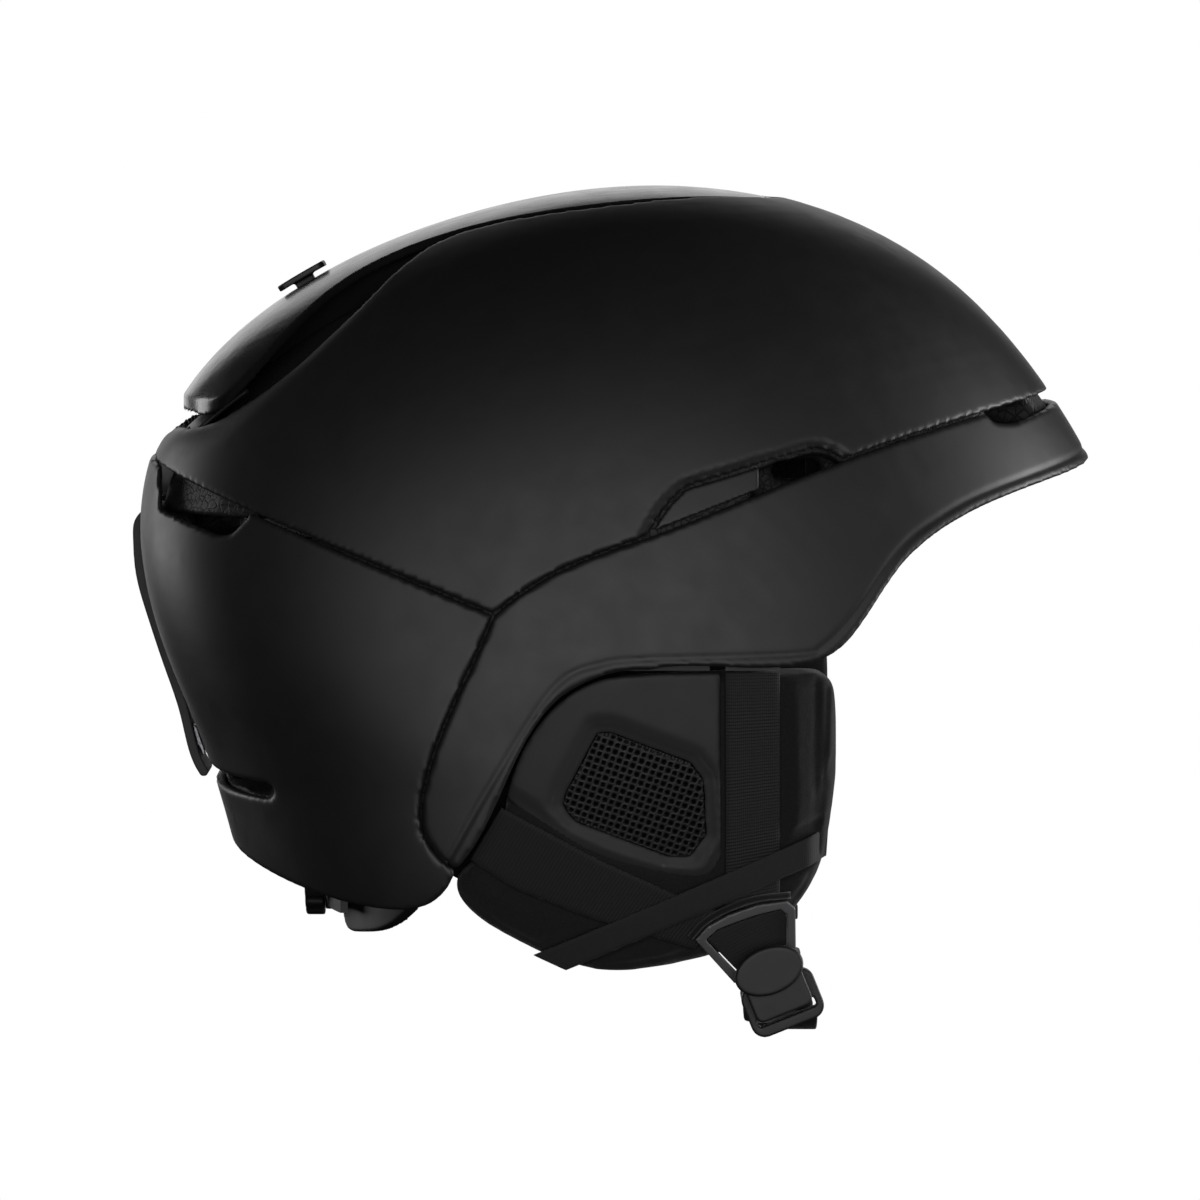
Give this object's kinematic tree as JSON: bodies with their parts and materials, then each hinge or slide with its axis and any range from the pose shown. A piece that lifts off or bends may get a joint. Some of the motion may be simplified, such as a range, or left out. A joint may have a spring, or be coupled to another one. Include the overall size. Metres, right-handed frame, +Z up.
{
  "type": "ski helmet",
  "caption": "Matte black ski and snowboard helmet with brim, vents, ear pads, rear fit dial, goggle strap clip and chin strap.",
  "frame": {"origin": "middle of the wearer's head, between the tops of the ears, in the helmet's middle plane", "axes": "+X is the way the wearer looks, +Y is the wearer's left, +Z is up"},
  "size_m": [0.2851, 0.2132, 0.2452],
  "materials": {
    "shell_matte": "soft matte black, fine texture",
    "spine_satin": "satin black",
    "foam_black": "moulded bead foam, matte",
    "lining_fabric": "brushed knit",
    "ear_fabric": "brushed fleece",
    "ear_panel": "soft moulded, matte",
    "mesh_plastic": "matte",
    "webbing": "ribbed woven",
    "elastic": "plain woven elastic",
    "hard_plastic": "fine spark texture",
    "divider_plastic": "satin dark grey",
    "clip_rubber": "matte",
    "clip_metal": "satin",
    "steel": "turned",
    "gear_plastic": "moulded"
  },
  "bodies": {
    "helmet": {"crown_shell": "shell_matte", "brim_band": "shell_matte", "rear_shell": "shell_matte", "crown_spine": "spine_satin", "side_vent_cover_right": "shell_matte", "side_vent_cover_left": "shell_matte", "foam_liner": "foam_black", "comfort_pad_front": "lining_fabric", "comfort_pad_crown": "lining_fabric", "comfort_pad_right": "lining_fabric", "comfort_pad_left": "lining_fabric", "nape_pad": "lining_fabric", "vent_track": "hard_plastic", "goggle_clip_pin": "steel", "goggle_clip_bracket": "hard_plastic", "fit_case": "hard_plastic", "nape_cradle": "hard_plastic", "strap_anchor_right": "hard_plastic", "strap_anchor_left": "hard_plastic", "ear_pad_hanger_right": "mesh_plastic", "ear_pad_hanger_left": "mesh_plastic"},
    "vent_slider": {"vent_shutter": "hard_plastic", "vent_knob": "hard_plastic"},
    "goggle_clip": {"goggle_clip": "clip_rubber", "goggle_clip_hook": "clip_metal"},
    "dial": {"fit_dial": "hard_plastic", "fit_pinion": "gear_plastic", "fit_axle": "steel"},
    "arm_left": {"fit_arm_left": "hard_plastic"},
    "arm_right": {"fit_arm_right": "hard_plastic"},
    "ear_right": {"ear_pad_right": "ear_fabric", "ear_pad_panel_right": "ear_panel", "ear_pad_mesh_right": "mesh_plastic", "strap_front_right": "webbing", "strap_rear_right": "webbing", "pad_band_right": "elastic", "strap_divider_right": "divider_plastic", "divider_webbing_right": "webbing", "buckle_base": "hard_plastic", "buckle_button": "hard_plastic", "buckle_magnet": "steel"},
    "ear_left": {"ear_pad_left": "ear_fabric", "ear_pad_panel_left": "ear_panel", "ear_pad_mesh_left": "mesh_plastic", "strap_front_left": "webbing", "strap_rear_left": "webbing", "pad_band_left": "elastic", "strap_divider_left": "divider_plastic", "divider_webbing_left": "webbing"},
    "chin": {"chin_strap": "webbing", "chin_pad": "ear_fabric", "strap_adjuster": "hard_plastic", "buckle_tongue": "hard_plastic"}
  },
  "joints": [
    {"name": "vent_slide", "type": "hinge", "parent": "helmet", "child": "vent_slider", "pos_m": [0.0168, 0, -0.07661], "axis": [0, 1, 0], "range_deg": [0, 2.15]},
    {"name": "goggle_clip_hinge", "type": "hinge", "parent": "helmet", "child": "goggle_clip", "pos_m": [-0.1328, 0, 0.0415], "axis": [0, 1, 0], "range_deg": [0, 60], "stiffness_Nm_per_rad": 0.03, "springref_deg": -17.19},
    {"name": "dial_turn", "type": "hinge", "parent": "helmet", "child": "dial", "pos_m": [-0.0885, 0, -0.066], "axis": [1, 0, 0], "range_deg": [-40, 40]},
    {"name": "arm_left_slide", "type": "slide", "parent": "helmet", "child": "arm_left", "axis": [0, -1, 0], "range_m": [-0.0045, 0.0045]},
    {"name": "arm_right_slide", "type": "slide", "parent": "helmet", "child": "arm_right", "axis": [0, 1, 0], "range_m": [-0.0045, 0.0045]},
    {"name": "ear_right_flex", "type": "hinge", "parent": "helmet", "child": "ear_right", "pos_m": [0.015, -0.101, 0.0005], "axis": [-1, 0, 0], "range_deg": [0, 20], "stiffness_Nm_per_rad": 0.4, "springref_deg": -5.73},
    {"name": "ear_left_flex", "type": "hinge", "parent": "helmet", "child": "ear_left", "pos_m": [0.015, 0.101, 0.0005], "axis": [1, 0, 0], "range_deg": [0, 20], "stiffness_Nm_per_rad": 0.4, "springref_deg": -5.73},
    {"name": "chin_strap_swing", "type": "hinge", "parent": "ear_left", "child": "chin", "pos_m": [0.051, 0.0845, -0.088], "axis": [1, 0, 0], "range_deg": [0, 75]}
  ],
  "couplings": [
    {"joint": "arm_left_slide", "follows": "dial_turn", "m_per_rad": 0.006},
    {"joint": "arm_right_slide", "follows": "dial_turn", "m_per_rad": 0.006}
  ]
}
